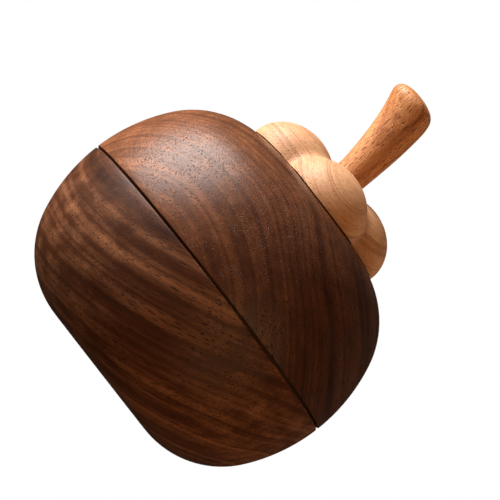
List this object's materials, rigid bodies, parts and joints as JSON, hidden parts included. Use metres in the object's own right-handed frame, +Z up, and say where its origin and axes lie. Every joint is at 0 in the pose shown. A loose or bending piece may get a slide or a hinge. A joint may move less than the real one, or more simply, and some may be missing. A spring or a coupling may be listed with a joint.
{
  "type": "nutcracker",
  "caption": "Wooden screw-press nutcracker shaped like a mangosteen: a walnut bowl and shell, a lobed beech knob and a leaning cherry stem drive a press pad inside.",
  "frame": {"origin": "centre of the underside, on the surface that the nutcracker stands on", "axes": "+Z up along the body's axis and the press screw; the stem leans towards -X; -Y faces the viewer"},
  "size_m": [0.09, 0.09, 0.1064],
  "materials": {
    "walnut": "satin oil",
    "beech": "satin oil",
    "cherry": "satin oil",
    "brass": "turned",
    "leather": "waxed"
  },
  "bodies": {
    "bowl": {"lower_bowl": "walnut", "base_pad": "leather", "anvil_seat": "beech", "anvil_screw": "brass", "bowl_thread_ring": "beech"},
    "seal": {"rim_gasket": "leather"},
    "shell": {"upper_shell": "walnut", "lid_thread_ring": "beech", "thread_bushing": "beech", "bushing_screws": "brass", "thrust_washer": "leather"},
    "pad": {"press_pad": "beech", "pad_washer": "brass"},
    "spindle": {"screw_spindle": "beech", "pad_screw": "brass", "calyx_knob": "beech", "torque_dowels": "beech", "stem_handle": "cherry", "stem_dowel": "beech"}
  },
  "joints": [
    {"name": "lid_lift", "type": "slide", "parent": "bowl", "child": "seal", "axis": [0, 0, 1], "range_m": [0, 0.01201]},
    {"name": "lid_turn", "type": "hinge", "parent": "seal", "child": "shell", "pos_m": [0, 0, 0.034], "axis": [0, 0, 1], "range_deg": [0, 720]},
    {"name": "press_lift", "type": "slide", "parent": "shell", "child": "pad", "axis": [0, 0, 1], "range_m": [0, 0.02521]},
    {"name": "knob_turn", "type": "hinge", "parent": "pad", "child": "spindle", "pos_m": [0, 0, 0.068], "axis": [0, 0, 1], "range_deg": [0, 2160]}
  ],
  "couplings": [
    {"joint": "lid_lift", "follows": "lid_turn", "m_per_rad": 0.00095493},
    {"joint": "press_lift", "follows": "knob_turn", "m_per_rad": 0.00066845}
  ]
}
